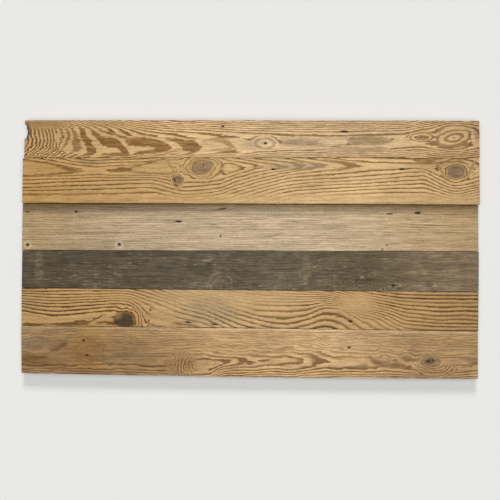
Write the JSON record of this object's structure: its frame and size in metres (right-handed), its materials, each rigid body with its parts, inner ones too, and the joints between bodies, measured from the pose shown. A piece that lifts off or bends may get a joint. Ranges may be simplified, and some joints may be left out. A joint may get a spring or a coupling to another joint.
{
  "type": "wood wall panel",
  "caption": "Rustic wall panel of old softwood boards of unequal width and thickness, laid edge to edge and screwed to hidden battens.",
  "frame": {"origin": "middle of the outline, on the plane of the batten backs, which is the wall face", "axes": "+X along the boards to the right, +Y up the wall, +Z out of the wall towards the room"},
  "size_m": [1.203, 0.6791, 0.042],
  "materials": {
    "golden_flat_sawn": "old flat-sawn softwood, waxed, golden brown",
    "golden_knotty": "old knotty softwood, waxed, golden",
    "silvered": "old softwood, pale grey-beige, brushed",
    "weathered_grey": "old softwood, dark weathered grey, brushed",
    "amber_ringed": "old softwood, orange-gold with dark rings",
    "brown_to_gold": "old softwood, brown at the left, gold beyond",
    "batten_pine": "plain planed softwood",
    "screw_steel": "yellow zinc-plated steel"
  },
  "bodies": {
    "root": {"batten_left": "batten_pine", "batten_middle": "batten_pine", "batten_right": "batten_pine", "board_1_top": "golden_flat_sawn", "board_2_knotty": "golden_knotty", "board_3_silvered": "silvered", "board_4_grey": "weathered_grey", "board_5_amber": "amber_ringed", "board_6_bottom": "brown_to_gold"}
  },
  "joints": []
}
